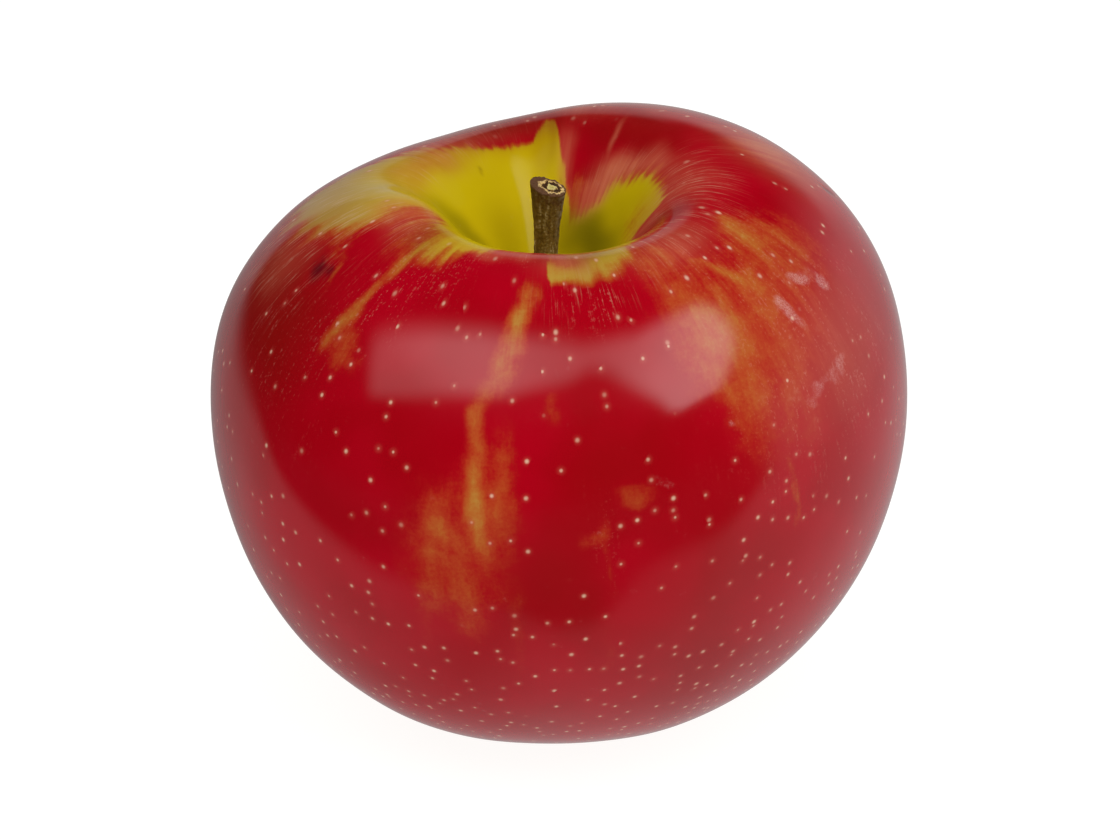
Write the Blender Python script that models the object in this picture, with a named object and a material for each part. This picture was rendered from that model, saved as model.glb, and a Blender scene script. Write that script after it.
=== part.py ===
"""A whole red apple: the fruit, its woody stem and its dried calyx, as three solids.

The fruit is a round body whose upper and lower halves are superellipses of their own height,
blended round the girth. A funnel with furrows in its wall surrounds the stem, and a shallow
basin surrounds the calyx.
Sizes are given in millimetres times MM, so they reach Blender in metres. +Z is up, the front
is towards -Y, and the apple stands on five small flats at z = 0 with its box centred on X and Y.
Azimuths are in degrees from +X towards +Y, and heights count from the middle of the body.
"""

import bmesh
import bpy
import numpy as np

MM = 0.001

# The fruit's body
RADIUS = 40.0 * MM
UPPER_HEIGHT = 32.0 * MM
LOWER_HEIGHT = 39.1 * MM
UPPER_SQUARENESS = 2.16  # the superellipse's exponent, where 2 is an ellipse
LOWER_SQUARENESS = 2.075
GIRTH_BLEND = 0.5  # half the blend between the halves, as a cosine of the polar angle
GIRTH_WAVES = ((0.008, 2, 57.0), (0.0071, 3, -14.0), (0.006, 5, 17.0))  # share of radius, count, azimuth

# The shoulders round the stem: how they lean, and where they stand high
SHOULDER_LEAN_X = 0.09
SHOULDER_LEAN_Y = -0.005
SHOULDER_WAVES = ((2.28 * MM, 2, 11.0), (2.24 * MM, 3, -65.0))  # height, count, azimuth
SHOULDER_SOFTNESS = 0.25  # how softly the shoulders' forms fade out below the girth

# The funnel round the stem, and the furrows that widen it
STEM_AXIS_X = -1.27 * MM
STEM_AXIS_Y = -1.73 * MM
FUNNEL_DEPTH = 18.7 * MM
FUNNEL_RADIUS = 9.95 * MM
FUNNEL_STEEPNESS = 2.33
FURROWS = (  # azimuth, half width in degrees, extra radius
    (97.0, 18.0, 2.0 * MM),
    (168.0, 10.6, 2.25 * MM),
    (307.0, 39.0, 2.2 * MM),
    (266.0, 10.0, -0.25 * MM),
)

# The basin round the calyx, and the five feet of its rim
BASIN_DEPTH = 7.0 * MM
BASIN_RADIUS = 9.0 * MM
FOOT_COUNT = 5
FOOT_AZIMUTH = 17.0
FOOT_HEIGHT = 0.4 * MM
FOOT_RING_RADIUS = 14.0 * MM
FOOT_RING_WIDTH = 7.0 * MM
FOOT_FLAT = 0.35 * MM  # how much of each foot's tip is flat

# The stem, which leans a little from its root to its cut end
STEM_ROOT_X = -1.75 * MM
STEM_ROOT_Y = -1.85 * MM
STEM_TOP_X = -1.2 * MM
STEM_TOP_Y = -1.5 * MM
STEM_TOP_HEIGHT = 28.0 * MM
STEM_RADIUS = 1.28 * MM
STEM_FLARE = 0.62 * MM  # how much the cut end is wider
STEM_FLARE_START = 0.55  # share of the stem's length below the flare
STEM_OVAL = 0.05
STEM_CUT_FALL_X = 0.29  # fall of the cut face for each unit towards +X
STEM_CUT_FALL_Y = -0.09

# Sockets in the fruit, and the gap that the stem and calyx keep in them
STEM_SOCKET_DEPTH = 3.0 * MM
CALYX_SOCKET_DEPTH = 1.6 * MM
GAP = 0.3 * MM

# The calyx: a plug with five sepals, which follow the basin and turn down at their tips
PLUG_RADIUS = 1.9 * MM
SEPAL_COUNT = 5
SEPAL_AZIMUTH = 53.0
SEPAL_REACH = 5.8 * MM
SEPAL_CLEFT = 2.3 * MM  # the calyx's radius between two sepals
SEPAL_THICKNESS = 0.55 * MM
SEPAL_TIP_DROP = 0.45 * MM

# How finely each solid is divided
FRUIT_SIDES, FRUIT_RINGS = 80, 56
FRUIT_RING_CROWDING = 0.4  # draws the rings towards both poles
STEM_SIDES, STEM_RINGS, STEM_CAP_RINGS = 24, 24, 4
CALYX_SIDES, CALYX_RINGS = 60, 16
SOCKET_SIDES = 32


def wave_sum(azimuth, waves):
    """The sum of amount * cos(count * (azimuth - crest)) over the waves."""
    return sum(amount * np.cos(count * (azimuth - np.radians(crest))) for amount, count, crest in waves)


def smooth_step(value):
    """0 below 0 and 1 above 1, with level ends."""
    value = np.clip(value, 0.0, 1.0)
    return value * value * (3.0 - 2.0 * value)


def funnel_radius(azimuth):
    """The funnel's radius: a constant, and for each furrow a bell curve over the azimuth."""
    radius = np.full_like(azimuth, FUNNEL_RADIUS)
    for crest, half_width, extra in FURROWS:
        away = np.angle(np.exp(1j * (azimuth - np.radians(crest))))
        radius += extra * np.exp(-0.5 * (away / np.radians(half_width)) ** 2)
    return radius


def basin_lift(distance):
    """How far the basin raises the underside, as a bell curve of the distance from its axis."""
    return BASIN_DEPTH * np.exp(-((distance / BASIN_RADIUS) ** 2))


def underside_height(distance):
    """The height of the underside at a distance from the axis, without waves and feet."""
    side = distance / RADIUS
    return -LOWER_HEIGHT * (1.0 - side**LOWER_SQUARENESS) ** (1.0 / LOWER_SQUARENESS) + basin_lift(distance)


def fruit_surface(azimuth, polar):
    """Points of the fruit's skin.

    side and high are the superellipse's sine and cosine of the polar angle, and upper is the
    share of the upper half, from 0 to 1 across the girth. The distance from the axis is side
    times a radius with waves round the girth. The height is high times the half's height.
    Above, the shoulders' lean and waves are added and the funnel is taken off, and the axis
    moves over to the stem. Below, the basin is added, and the feet are taken off.
    """
    upper = smooth_step((np.cos(polar) + GIRTH_BLEND) / (2.0 * GIRTH_BLEND))
    power = 2.0 / (LOWER_SQUARENESS + (UPPER_SQUARENESS - LOWER_SQUARENESS) * upper)
    side = np.sin(polar) ** power
    high = np.sign(np.cos(polar)) * np.abs(np.cos(polar)) ** power
    top = 0.5 * (high + np.sqrt(high**2 + SHOULDER_SOFTNESS**2))

    distance = RADIUS * (1.0 + wave_sum(azimuth, GIRTH_WAVES)) * side
    x = distance * np.cos(azimuth) + STEM_AXIS_X * top
    y = distance * np.sin(azimuth) + STEM_AXIS_Y * top

    lean = SHOULDER_LEAN_X * np.cos(azimuth) + SHOULDER_LEAN_Y * np.sin(azimuth)
    shoulders = lean * distance * top * (2.0 - top) + wave_sum(azimuth, SHOULDER_WAVES) * side**2 * top
    body = (LOWER_HEIGHT + (UPPER_HEIGHT - LOWER_HEIGHT) * upper) * high + shoulders

    funnel = FUNNEL_DEPTH * np.exp(-((distance / funnel_radius(azimuth)) ** FUNNEL_STEEPNESS))
    ring = np.exp(-(((distance - FOOT_RING_RADIUS) / FOOT_RING_WIDTH) ** 2))
    feet = wave_sum(azimuth, ((FOOT_HEIGHT, FOOT_COUNT, FOOT_AZIMUTH),)) * ring
    z = body + np.where(high > 0.0, -funnel, basin_lift(distance) - feet)
    return np.stack([x, y, z], axis=-1)


def fruit_points(azimuth, polar):
    """The skin with its rings drawn towards the poles and the tips of its feet made flat."""
    polar = polar - 0.5 * FRUIT_RING_CROWDING * np.sin(2.0 * polar)
    points = fruit_surface(azimuth, polar)
    ground = points[:, 2].min() + FOOT_FLAT
    points[:, 2] = np.maximum(points[:, 2], ground)
    return points


def stem_points(azimuth, polar):
    """The stem as a tube with a rounded root and a slanted cut end.

    The rings of the top cap make the cut face and the rest make the side. The radius is
    constant and then grows smoothly towards the cut. The axis runs straight from root to top.
    """
    step = np.pi / STEM_RINGS
    cap = STEM_CAP_RINGS * step
    on_face = polar <= cap + 0.5 * step
    across = np.where(on_face, polar / cap, np.minimum(1.0, (np.pi - polar) / cap) ** 0.5)
    along = np.where(on_face, 1.0, (np.pi - polar) / (np.pi - cap))

    root = funnel_floor() - STEM_SOCKET_DEPTH + GAP
    flare = smooth_step((along - STEM_FLARE_START) / (2.0 - 2.0 * STEM_FLARE_START)) * 2.0
    radius = (STEM_RADIUS + STEM_FLARE * flare) * (1.0 + STEM_OVAL * np.cos(2.0 * azimuth)) * across
    side_x = radius * np.cos(azimuth)
    side_y = radius * np.sin(azimuth)
    slant = (STEM_CUT_FALL_X * side_x + STEM_CUT_FALL_Y * side_y) * along**4
    x = STEM_ROOT_X + (STEM_TOP_X - STEM_ROOT_X) * along + side_x
    y = STEM_ROOT_Y + (STEM_TOP_Y - STEM_ROOT_Y) * along + side_y
    z = root + (STEM_TOP_HEIGHT - root) * along - slant
    return np.stack([x, y, z], axis=-1)


def calyx_points(azimuth, polar):
    """The calyx as a flat star with a plug on its upper side.

    Its edge swings between the cleft's radius and the sepals' reach. It follows the basin's
    underside a gap below it, a sepal's thickness deep, and the tips drop with the fourth power
    of the distance. Within the plug's radius the upper side rises into the socket.
    """
    star = (0.5 + 0.5 * np.cos(SEPAL_COUNT * (azimuth - np.radians(SEPAL_AZIMUTH)))) ** 1.6
    edge = SEPAL_CLEFT + (SEPAL_REACH - SEPAL_CLEFT) * star
    side = np.sin(polar)
    distance = edge * side
    half = 0.5 * SEPAL_THICKNESS
    is_plug = (polar < 0.5 * np.pi) * smooth_step((PLUG_RADIUS - distance) / (0.2 * MM))
    middle = underside_height(distance) - GAP - half - SEPAL_TIP_DROP * (distance / SEPAL_REACH) ** 4
    plug_top = underside_height(0.0) + CALYX_SOCKET_DEPTH - GAP
    z = middle + half * np.cos(polar)
    z = z + is_plug * (plug_top - z)
    return np.stack([distance * np.cos(azimuth), distance * np.sin(azimuth), z], axis=-1)


def funnel_floor():
    """The height of the skin at the stem's axis."""
    return UPPER_HEIGHT - FUNNEL_DEPTH


def clear_scene():
    for item in list(bpy.data.objects):
        bpy.data.objects.remove(item, do_unlink=True)


def plain_material(name, colour, roughness):
    material = bpy.data.materials.new(name)
    material.use_nodes = True
    shader = material.node_tree.nodes["Principled BSDF"]
    shader.inputs["Base Color"].default_value = (*colour, 1.0)
    shader.inputs["Roughness"].default_value = roughness
    shader.inputs["Metallic"].default_value = 0.0
    return material


def bent_sphere(name, sides, rings, bend, material, parent):
    """A closed solid: a UV sphere whose every vertex moves to bend(azimuth, polar angle)."""
    mesh = bpy.data.meshes.new(name)
    ball = bmesh.new()
    bmesh.ops.create_uvsphere(ball, u_segments=sides, v_segments=rings, radius=1.0)
    ball.to_mesh(mesh)
    ball.free()
    flat = np.empty(len(mesh.vertices) * 3)
    mesh.vertices.foreach_get("co", flat)
    x, y, z = flat.reshape(-1, 3).T
    points = bend(np.arctan2(y, x), np.arccos(np.clip(z, -1.0, 1.0)))
    mesh.vertices.foreach_set("co", points.ravel())
    mesh.update()
    mesh.shade_smooth()
    mesh.materials.append(material)
    solid = bpy.data.objects.new(name, mesh)
    solid.parent = parent
    bpy.context.scene.collection.objects.link(solid)
    return solid, points


def cut_socket(solid, name, radius, centre_x, centre_y, low, high):
    """Cuts an upright round socket between two heights out of a solid."""
    mesh = bpy.data.meshes.new(name)
    drum = bmesh.new()
    bmesh.ops.create_cone(
        drum, cap_ends=True, segments=SOCKET_SIDES, radius1=radius, radius2=radius, depth=high - low
    )
    drum.to_mesh(mesh)
    drum.free()
    cutter = bpy.data.objects.new(name, mesh)
    cutter.location = (centre_x, centre_y, 0.5 * (low + high))
    cutter.parent = solid.parent
    cutter.hide_render = True
    cutter.display_type = "WIRE"
    bpy.context.scene.collection.objects.link(cutter)
    cut = solid.modifiers.new(name, "BOOLEAN")
    cut.operation = "DIFFERENCE"
    cut.solver = "EXACT"
    cut.object = cutter


def main():
    clear_scene()
    skin = plain_material("apple_skin", (0.40, 0.006, 0.012), 0.35)
    bark = plain_material("stem_bark", (0.10, 0.055, 0.016), 0.75)
    dried = plain_material("dried_sepal", (0.13, 0.075, 0.035), 0.85)

    middle = bpy.data.objects.new("middle_of_body", None)
    bpy.context.scene.collection.objects.link(middle)
    fruit, points = bent_sphere("fruit", FRUIT_SIDES, FRUIT_RINGS, fruit_points, skin, middle)
    bent_sphere("stem", STEM_SIDES, STEM_RINGS, stem_points, bark, middle)
    bent_sphere("calyx", CALYX_SIDES, CALYX_RINGS, calyx_points, dried, middle)

    floor = funnel_floor()
    stem_wall = STEM_RADIUS * (1.0 + STEM_OVAL) + GAP
    cut_socket(
        fruit, "stem_socket", stem_wall, STEM_ROOT_X, STEM_ROOT_Y, floor - STEM_SOCKET_DEPTH, floor + FUNNEL_DEPTH
    )
    ceiling = underside_height(0.0)
    cut_socket(
        fruit, "calyx_socket", PLUG_RADIUS + GAP, 0.0, 0.0, ceiling - BASIN_DEPTH, ceiling + CALYX_SOCKET_DEPTH
    )

    low, high = points.min(axis=0), points.max(axis=0)
    middle.location = (-0.5 * (low[0] + high[0]), -0.5 * (low[1] + high[1]), -low[2])


main()
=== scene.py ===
"""Looks of a whole red fruit: its waxy skin, its woody stem and its dried calyx, on a pale floor.

Lengths are millimetres times MM, so they are metres in Blender. Azimuths are in degrees from +X
towards +Y. The reach of a point is its distance along the skin from the middle of the funnel
round the stem, in millimetres: the crest of the shoulder is at about 24, the girth at 62, the
feet at 112 and the middle of the basin at 125.
"""

import bpy
import numpy as np
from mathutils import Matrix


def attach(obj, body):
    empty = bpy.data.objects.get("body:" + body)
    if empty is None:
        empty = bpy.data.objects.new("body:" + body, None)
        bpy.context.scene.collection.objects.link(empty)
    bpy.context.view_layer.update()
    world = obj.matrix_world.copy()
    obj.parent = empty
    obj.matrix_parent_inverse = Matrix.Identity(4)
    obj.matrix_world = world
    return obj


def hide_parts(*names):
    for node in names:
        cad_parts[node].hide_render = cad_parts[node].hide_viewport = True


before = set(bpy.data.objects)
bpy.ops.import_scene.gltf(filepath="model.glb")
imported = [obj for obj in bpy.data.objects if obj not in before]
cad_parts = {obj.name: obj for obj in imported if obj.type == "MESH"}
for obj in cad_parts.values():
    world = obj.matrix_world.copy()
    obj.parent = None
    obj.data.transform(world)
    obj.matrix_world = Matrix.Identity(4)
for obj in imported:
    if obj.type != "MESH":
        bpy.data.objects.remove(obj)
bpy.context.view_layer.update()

MM = 0.001

# The fruit's body, as its solid has it
RADIUS = 40.0 * MM
UPPER_HEIGHT = 32.0 * MM
LOWER_HEIGHT = 39.1 * MM
UPPER_SQUARENESS = 2.16
LOWER_SQUARENESS = 2.075
GIRTH_BLEND = 0.5
GIRTH_WAVES = ((0.008, 2, 57.0), (0.0071, 3, -14.0), (0.006, 5, 17.0))
SHOULDER_LEAN_X = 0.09
SHOULDER_LEAN_Y = -0.005
SHOULDER_WAVES = ((2.28 * MM, 2, 11.0), (2.24 * MM, 3, -65.0))
SHOULDER_SOFTNESS = 0.25
STEM_AXIS_X = -1.27 * MM
STEM_AXIS_Y = -1.73 * MM
FUNNEL_DEPTH = 18.7 * MM
FUNNEL_RADIUS = 9.95 * MM
FUNNEL_STEEPNESS = 2.33
FURROWS = (
    (97.0, 18.0, 2.0 * MM),
    (168.0, 10.6, 2.25 * MM),
    (307.0, 39.0, 2.2 * MM),
    (266.0, 10.0, -0.25 * MM),
)
BASIN_DEPTH = 7.0 * MM
BASIN_RADIUS = 9.0 * MM
FOOT_COUNT = 5
FOOT_AZIMUTH = 17.0
FOOT_HEIGHT = 0.4 * MM
FOOT_RING_RADIUS = 14.0 * MM
FOOT_RING_WIDTH = 7.0 * MM
FOOT_FLAT = 0.35 * MM
BODY_MIDDLE = np.array([-0.073, -0.213, 36.468]) * MM  # where the body's middle stands in the frame

# The stem, as its solid has it
STEM_ROOT_X = -1.75 * MM
STEM_ROOT_Y = -1.85 * MM
STEM_TOP_X = -1.2 * MM
STEM_TOP_Y = -1.5 * MM
STEM_TOP_HEIGHT = 28.0 * MM
STEM_RADIUS = 1.28 * MM
STEM_FLARE = 0.62 * MM
STEM_FLARE_START = 0.55
STEM_OVAL = 0.05
STEM_CUT_FALL_X = 0.29
STEM_CUT_FALL_Y = -0.09
SOCKET_DEPTH = 2.7 * MM  # how far the stem goes down into the funnel's floor

# The basin's star of dried leaves, where its solid has it
SEPAL_COUNT = 5
SEPAL_AZIMUTH = 53.0
SEPAL_REACH = 5.6 * MM
SEPAL_START = 1.1 * MM
SEPAL_HALF_WIDTH = 1.7 * MM
SEPAL_HALF_THICKNESS = 0.14 * MM
SEPAL_SHORTEST = 0.9  # as a share of the longest
SEPAL_SCATTER = 7.0  # degrees either way
SEPAL_SWAY = 0.5  # millimetres, as are the next two
SEPAL_ROOT_RISE = 0.4
SEPAL_EDGE_CURL = 0.75
SEPAL_HANG = (1.9, 2.3)  # millimetres below the basin, at the least and the most
SEPAL_HANG_TURN = (0.8, 0.95)  # the part of half a sine wave that the middle line follows
THREAD_COUNT = 16
TUFT_RADIUS = 1.25 * MM
THREAD_BEND = 0.25 * MM
THREAD_LEAN = (-0.3, 0.9)  # millimetres outwards, at the least and the most
THREAD_DROP = (1.4, 2.3)  # millimetres, likewise
THREAD_RADIUS, BEAD_SWELL = 0.09, 0.13  # millimetres
BEAD_PLACE, BEAD_LENGTH = 0.88, 0.09  # as shares of the thread
GOLDEN_ANGLE = 2.399963  # radians from one thread to the next round the tuft

# How finely the pieces are divided
SKIN_SIDES, SKIN_RINGS = 440, 224
SKIN_RING_CROWDING = 0.4
STEM_SIDES, STEM_RINGS, STEM_FACE_RINGS = 128, 200, 40
SEPAL_SIDES, SEPAL_RINGS = 28, 46
THREAD_SIDES, THREAD_RINGS = 8, 16

# The skin's pattern. Round the funnel the yellow ground shows as far out as this reach.
FUNNEL_EDGE = (  # azimuth, reach, half width of the change to red
    (-180, 36, 5.0), (-170, 33, 4.0), (-162, 29, 4.0), (-155, 25.5, 3.0), (-148, 25, 3.0),
    (-138, 26, 3.0), (-128, 25.5, 2.5), (-120, 23.5, 2.0), (-112, 21.8, 1.5), (-100, 21, 1.5),
    (-92, 21, 1.2), (-90.3, 22.5, 1.0), (-89.7, 27.6, 0.9), (-83, 28.0, 1.1), (-77, 27.3, 1.9),
    (-71, 27.7, 2.0), (-67, 26.6, 1.9), (-62, 24.9, 1.7), (-57, 23.5, 1.6), (-50, 20.8, 1.5),
    (-40, 17, 1.5), (-30, 15, 1.5), (-20, 15, 1.5), (-13, 16.5, 1.5), (-7, 20, 1.8),
    (0, 20.6, 1.8), (14, 19.9, 2.0), (27, 17.8, 2.2), (41, 15.7, 2.2), (54, 12.9, 2.2),
    (61, 11.6, 2.2), (70, 10.8, 2.0), (75, 12.8, 2.0), (79.5, 15.2, 2.0), (82, 17.6, 1.6),
    (85, 19.8, 1.2), (87.5, 22.3, 1.0), (91, 23.3, 1.0), (94, 22.3, 1.0), (96.5, 20.2, 0.8),
    (105, 19.8, 0.8), (120, 20.3, 1.0), (135, 22, 1.8), (148, 25, 3.0), (158, 31, 4.0),
    (170, 36.5, 5.0),
)
FRINGE_SHARE = 0.2  # how long the fingers at this edge are, as a share of its width
FINGER_COUNT = 24  # waves that make up the fingers
FEWEST_FINGERS, MOST_FINGERS = 14, 105  # how often such a wave comes round the fruit
WOBBLE_TURN, WOBBLE_LENGTH = 0.35, 0.4  # how far the marks' outlines wander, in degrees and millimetres
BELL_FALL, BELL_SIDE_POWER, BELL_LENGTH_POWER = 0.7, 2.2, 2.6  # how a mark fades from its middle

# A mark is its azimuth, its reach, its half width in degrees, its half length in millimetres, its slant in
# degrees for each millimetre outwards, and its amount from 0 to 1.
PALE_STREAKS = (  # where the blush is thin
    (-137.5, 31, 1.8, 6, -0.3, 0.46),
    (-139.5, 38, 1.2, 3.5, -0.2, 0.44),
    (-135, 39.5, 4.2, 3.0, 0.5, 0.42),
    (-152, 33.5, 1.3, 2, 1.0, 0.45),
    (-160, 30, 5, 4, 0.0, 0.4),
    (-142, 27, 6, 2.5, 0.0, 0.25),
    (-128, 26, 6, 2.0, 0.0, 0.25),
    (-96.5, 31, 2.8, 3.4, -0.45, 0.62),
    (-99.5, 37.5, 2.6, 3.5, -0.5, 0.51),
    (-103.3, 45, 1.5, 5, 0.1, 0.44),
    (-102.6, 53, 1.2, 4.5, 0.25, 0.5),
    (-98, 50, 2.4, 6, 0.0, 0.34),
    (-105.5, 58, 8.5, 8.5, 0.0, 0.33),
    (-108.5, 55.5, 2.0, 2.2, 0.0, 0.22),
    (-110, 64, 1.2, 6, 0.0, 0.12),
    (-103, 66, 2.6, 4, 0.0, 0.14),
    (-96, 70, 1.4, 7, -0.05, 0.2),
    (-110, 73, 4, 6, 0.0, 0.08),
    (-84.6, 57, 1.8, 1.4, 0.0, 0.3),
    (-82.2, 58.5, 0.9, 6.5, 0.19, 0.22),
    (-82.3, 73, 2.0, 7, 0.0, 0.18),
    (-30, 30.5, 4.5, 2.8, 0.0, 0.3),
    (-27, 29, 1.2, 1.5, 0.0, 0.25),
    (-33, 34, 15, 6, 0.0, 0.3),
    (-18, 36, 8, 4, 0.0, 0.22),
    (-45, 33, 1.4, 2.4, 1.2, 0.32),
    (-48, 40, 9, 6, 0.0, 0.24),
    (-56, 46, 3.5, 4.5, 0.0, 0.25),
    (-50, 50, 8, 7, 0.0, 0.18),
    (-36, 45, 15, 8, 0.0, 0.2),
    (-63, 40, 5, 5, 0.0, 0.18),
    (-49.5, 60, 0.7, 3.5, 0.0, 0.3),
    (-60, 57, 5, 2.5, 0.0, 0.1),
    (-77.3, 52.5, 2.9, 1.0, 0.0, 0.4),
    (-89.6, 42.3, 1.6, 1.7, 0.0, 0.3),
    (42, 17.8, 12, 3.8, -6.0, 0.22),
    (70, 13.5, 5, 3.5, 0.0, 0.3),
    (-57, 27.5, 6, 2.5, 0.0, 0.3),
    (-60, 31, 9, 5, 0.0, 0.16),
    (-56, 37, 5, 5, 0.0, 0.28),
    (-84, 35.5, 7, 3.5, 0.0, 0.1),
    (20, 35, 11, 4.5, 0.0, 0.42),
    (135, 22.5, 14, 2.5, 0.0, 0.25),
    (80, 31.5, 26, 3.5, 0.0, 0.25),
    (12, 60, 2.0, 10, 0.0, 0.25),
    (45, 48, 3, 9, 0.0, 0.35),
    (64, 62, 6, 8, 0.0, 0.22),
    (78, 52, 2.4, 13, 0.0, 0.45),
    (86, 41, 4.5, 8, 0.0, 0.35),
    (105, 70, 2.0, 10, 0.0, 0.2),
    (121, 58, 7, 10, 0.0, 0.3),
    (132, 44, 1.8, 11, 0.0, 0.45),
    (157, 60, 2.6, 12, 0.0, 0.35),
    (175, 52, 1.8, 9, 0.0, 0.3),
    (0, 125, 400, 7, 0.0, 0.7),
)
THIN_BLUSH = (  # where some blush lies over the yellow ground
    (-145, 24, 13, 3.5, 0.0, 0.52),
    (-158, 23, 8, 3.0, 0.0, 0.35),
    (-80, 24, 10, 4, 0.0, 0.18),
    (92, 23.5, 6, 2.0, 0.0, 0.35),
    (150, 22, 18, 2.4, 0.0, 0.22),
    (-87, 23.6, 4.5, 1.9, 0.0, 0.7),
    (-5, 14.6, 15, 2.6, 0.0, 0.33),
)
DEEP_AND_SHADED_PARTS = (  # where the blush is thick, and painted shade in the furrows, at the funnel's near crest and low on the front
    (-162, 42, 18, 7, 0.0, 0.6),
    (-80, 48, 10, 7, 0.0, 0.3),
    (-92, 62, 6, 6, 0.0, 0.4),
    (-85, 66, 3, 5, 0.0, 0.3),
    (-118, 50, 8, 6, 0.0, 0.15),
    (60, 34, 18, 8, 0.0, 0.3),
    (140, 42, 20, 8, 0.0, 0.3),
    (110, 24.5, 26, 4.5, 0.0, 0.6),
    (62, 20.5, 10, 2.6, 0.0, 0.35),
    (40, 23.5, 14, 2.5, 0.0, 0.3),
    (-176, 50, 16, 14, 0.0, 0.3),
    (-80, 24, 12, 1.5, 0.0, 0.4),
    (93, 21, 5, 4, 0.0, 0.2),
    (118, 23.5, 20, 2.5, 0.0, 0.4),
    (150, 21.8, 20, 2.6, 0.0, 0.32),
    (-140, 24, 9, 3, 0.0, 0.22),
    (-63, 72, 13, 13, 0.0, 0.28),
    (-155, 50, 9, 12, 0.0, 0.3),
    (-90, 95, 60, 14, 0.0, 0.14),
    (45, 23.5, 25, 2.5, 0.0, 0.3),
    (-82, 23.2, 9, 1.6, 0.0, 0.45),
    (87.5, 22, 2.2, 2.6, 0.0, 0.45),
    (-141, 24, 6, 3, 0.0, 0.32),
    (-27, 21.5, 7, 2.2, 0.0, 0.5),
    (-32, 18, 7, 2.5, 0.0, 0.3),
)
PINK_PARTS = (  # where the blush is pale and pink
    (40, 17.8, 11, 3.6, -6.0, 0.8),
    (56, 21, 1.2, 2.2, 0.5, 0.45),
    (150, 21.8, 20, 2.6, 0.0, 0.22),
    (-48, 26, 12, 3.5, 0.0, 0.5),
    (-25, 17, 13, 3, 0.0, 0.5),
    (50, 15.2, 8, 3.2, -2.5, 0.9),
    (80, 30.5, 28, 4, 0.0, 0.6),
    (-6, 21, 12, 4, 0.0, 0.45),
    (81, 17, 3.5, 3.5, 0.0, 0.5),
    (19, 35.5, 11, 5, 0.0, 0.7),
    (-158, 23.5, 13, 3.0, 0.0, 0.5),
    (-172, 38, 8, 4, 0.0, 0.3),
    (-105, 22.6, 16, 1.2, 0.0, 0.5),
    (-84, 24, 7, 2.0, 0.0, 0.6),
    (132, 24, 18, 3, 0.0, 0.3),
    (-32, 46, 14, 7, 0.0, 0.35),
)
COMBED_PARTS = (  # where fine pale lines run outwards
    (-175, 31, 14, 9, 0.0, 1.0),
    (170, 30, 12, 8, 0.0, 0.8),
    (-5, 22.5, 14, 4.5, 0.0, 0.9),
    (42, 17.8, 12, 3.8, -6.0, 0.4),
    (-40, 23, 20, 4.5, 0.0, 0.8),
    (-158, 24, 14, 3.5, 0.0, 0.5),
    (-78, 29.5, 12, 2.5, 0.0, 0.35),
    (145, 25, 28, 5, 0.0, 0.5),
)
FLECKED_PARTS = (  # where small pale flecks are scattered
    (-134, 32, 6, 6, 0.0, 0.9),
    (-122, 28, 8, 3, 0.0, 0.4),
    (-148, 44, 12, 9, 0.0, 0.4),
    (-82.2, 58, 1.5, 7, 0.19, 0.35),
    (-45, 27, 9, 3, 0.0, 0.5),
    (-76, 31.5, 2.5, 2.5, 0.0, 0.9),
    (-84, 31, 4, 2.5, 0.0, 0.6),
    (-105, 23, 16, 1.6, 0.0, 0.8),
    (-63, 27, 7, 3, 0.0, 0.5),
    (-50, 24, 14, 2, 0.0, 0.5),
    (-35, 49.5, 9, 2, 0.0, 1.0),
    (-20, 45, 12, 8, 0.0, 0.4),
    (-146, 24, 6, 2.5, 0.0, 0.8),
    (-38, 36, 14, 9, 0.0, 0.6),
    (-33, 47, 16, 9, 0.0, 1.0),
    (90, 32, 40, 6, 0.0, 0.3),
)
SCUFFS = (  # where the wax is rubbed pale
    (-37, 40.5, 1.6, 2.0, 0.35, 1.0),
    (-28, 38.8, 3.0, 0.7, 0.0, 0.9),
    (-22.5, 41, 1.4, 1.6, 0.0, 0.9),
    (-59, 48.8, 0.5, 0.5, 0.0, 0.6),
    (-40, 49.6, 4.0, 1.4, 0.0, 0.48),
    (-32.5, 48.6, 4.0, 1.7, -1.0, 0.52),
)
BRUISES = (  # where the skin is dark
    (-157.5, 35.2, 2.4, 0.8, 0.0, 0.8),
    (-153.5, 34.4, 1.2, 0.5, 0.0, 0.7),
    (13.7, 42.4, 0.6, 1.6, 0.0, 1.0),
    (122, 19.9, 0.6, 0.25, 0.0, 0.7),
    (129, 17.6, 1.0, 0.2, 0.0, 0.6),
    (83, 15.5, 0.6, 0.2, 0.0, 0.8),
)
GREEN_AND_SHADED_PARTS = (  # where the green ground shows, darkened as painted shade: deep in the funnel, in the left furrow's fold, at the near crest and round the basin's middle
    (40, 9, 45, 3.5, 0.0, 0.9),
    (161, 13, 4, 5, 1.0, 0.6),
    (-76, 25.5, 12, 3, 0.0, 0.22),
    (0, 125, 400, 6, 0.0, 0.4),
)
GLOSSY_PARTS = (  # where the funnel's wall is waxed too
    (108, 12.5, 13, 6, 0.0, 0.28),
)

# Low relief that the solids don't have
COLLAR_HEIGHT, COLLAR_RADIUS = 0.9 * MM, 1.9 * MM  # where the flesh rises round the stem
COLLAR_REACH = 12.0  # millimetres, beyond which there is none
SKIN_RIPPLE = 0.03  # millimetres, as are the depths
SCUFF_DEPTH, BRUISE_DEPTH = 0.06, 0.08
RIDGE_HEIGHT = 0.03 * MM
BROAD_RIDGES, NARROW_RIDGES = 7, 13  # how many run down the stem
BARK_LUMP, SMALL_BARK_LUMP = 0.022, 0.012  # millimetres, as are the next two
FACE_HOLLOW, FACE_LUMP = 0.12, 0.05
FACE_START = 0.98  # share of the stem's length from which its end counts as cut
WOOD_SHIFT = 0.2  # how far the wood's rings lie off the middle of the cut face

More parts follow.
